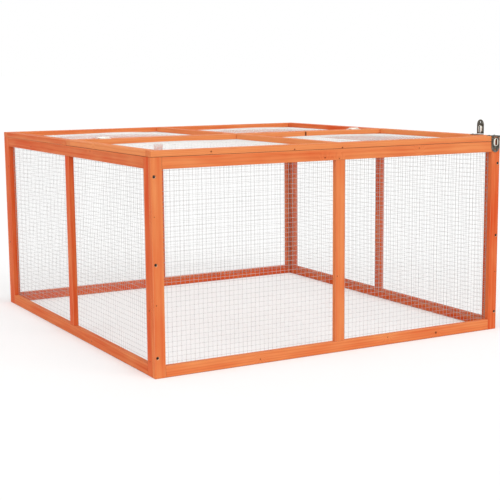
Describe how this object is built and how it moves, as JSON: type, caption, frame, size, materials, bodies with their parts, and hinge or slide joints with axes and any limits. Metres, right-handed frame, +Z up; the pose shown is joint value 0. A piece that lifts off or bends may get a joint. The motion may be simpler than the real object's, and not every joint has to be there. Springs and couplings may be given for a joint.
{
  "type": "rabbit cage",
  "caption": "Open-bottomed outdoor rabbit run of stained battens and welded mesh, with a hinged lid over its front half and hasps.",
  "frame": {"origin": "on the ground, at the centre of the four walls", "axes": "+Z up, +Y from the lid side at the front to the back, +X to the right along the front wall"},
  "size_m": [1.1158, 1.1613, 0.6125],
  "materials": {
    "stained_fir": "fir battens with an orange stain, satin",
    "netting": "hot-dip galvanised welded wire",
    "zinc_plate": "zinc-plated pressed steel, slightly dulled",
    "zinc_fasteners": "zinc-plated steel"
  },
  "bodies": {
    "frame": {"back_rail_bottom": "stained_fir", "back_rail_top": "stained_fir", "back_stile_left": "stained_fir", "back_stile_middle": "stained_fir", "back_stile_right": "stained_fir", "front_rail_bottom": "stained_fir", "front_rail_top": "stained_fir", "front_stile_left": "stained_fir", "front_stile_middle": "stained_fir", "front_stile_right": "stained_fir", "hasp_side_staple": "zinc_fasteners", "hinge_left_leaf_roof": "zinc_plate", "hinge_left_pin": "zinc_fasteners", "hinge_right_leaf_roof": "zinc_plate", "hinge_right_pin": "zinc_fasteners", "left_rail_bottom": "stained_fir", "left_rail_top": "stained_fir", "left_stile_front": "stained_fir", "left_stile_middle": "stained_fir", "left_stile_rear": "stained_fir", "net_back": "netting", "net_front": "netting", "net_left": "netting", "net_right": "netting", "net_roof": "netting", "right_rail_bottom": "stained_fir", "right_rail_top": "stained_fir", "right_stile_front": "stained_fir", "right_stile_middle": "stained_fir", "right_stile_rear": "stained_fir", "roof_crossbar": "stained_fir", "roof_rail_left": "stained_fir", "roof_rail_middle": "stained_fir", "roof_rail_rear": "stained_fir", "roof_rail_right": "stained_fir", "screws_corner": "zinc_fasteners", "screws_hinge_roof": "zinc_fasteners"},
    "lid": {"hasp_front_base": "zinc_plate", "hasp_front_pin": "zinc_fasteners", "hasp_side_base": "zinc_plate", "hasp_side_pin": "zinc_fasteners", "hinge_left_leaf_lid": "zinc_plate", "hinge_right_leaf_lid": "zinc_plate", "lid_crossbar": "stained_fir", "lid_rail_front": "stained_fir", "lid_rail_left": "stained_fir", "lid_rail_rear": "stained_fir", "lid_rail_right": "stained_fir", "net_lid": "netting", "screws_hasp": "zinc_fasteners", "screws_hinge_lid": "zinc_fasteners"},
    "front_flap": {"hasp_front_flap": "zinc_plate"},
    "side_flap": {"hasp_side_flap": "zinc_plate"}
  },
  "joints": [
    {"name": "lid_hinge", "type": "hinge", "parent": "frame", "child": "lid", "pos_m": [0, 0, 0.5714], "axis": [-1, 0, 0], "range_deg": [0, 175]},
    {"name": "front_hasp_flap", "type": "hinge", "parent": "lid", "child": "front_flap", "pos_m": [0.535, -0.5808, 0.5672], "axis": [-1, 0, 0], "range_deg": [0, 180]},
    {"name": "side_hasp_flap", "type": "hinge", "parent": "lid", "child": "side_flap", "pos_m": [0.5553, -0.486, 0.5672], "axis": [0, 1, 0], "range_deg": [0, 180]}
  ]
}
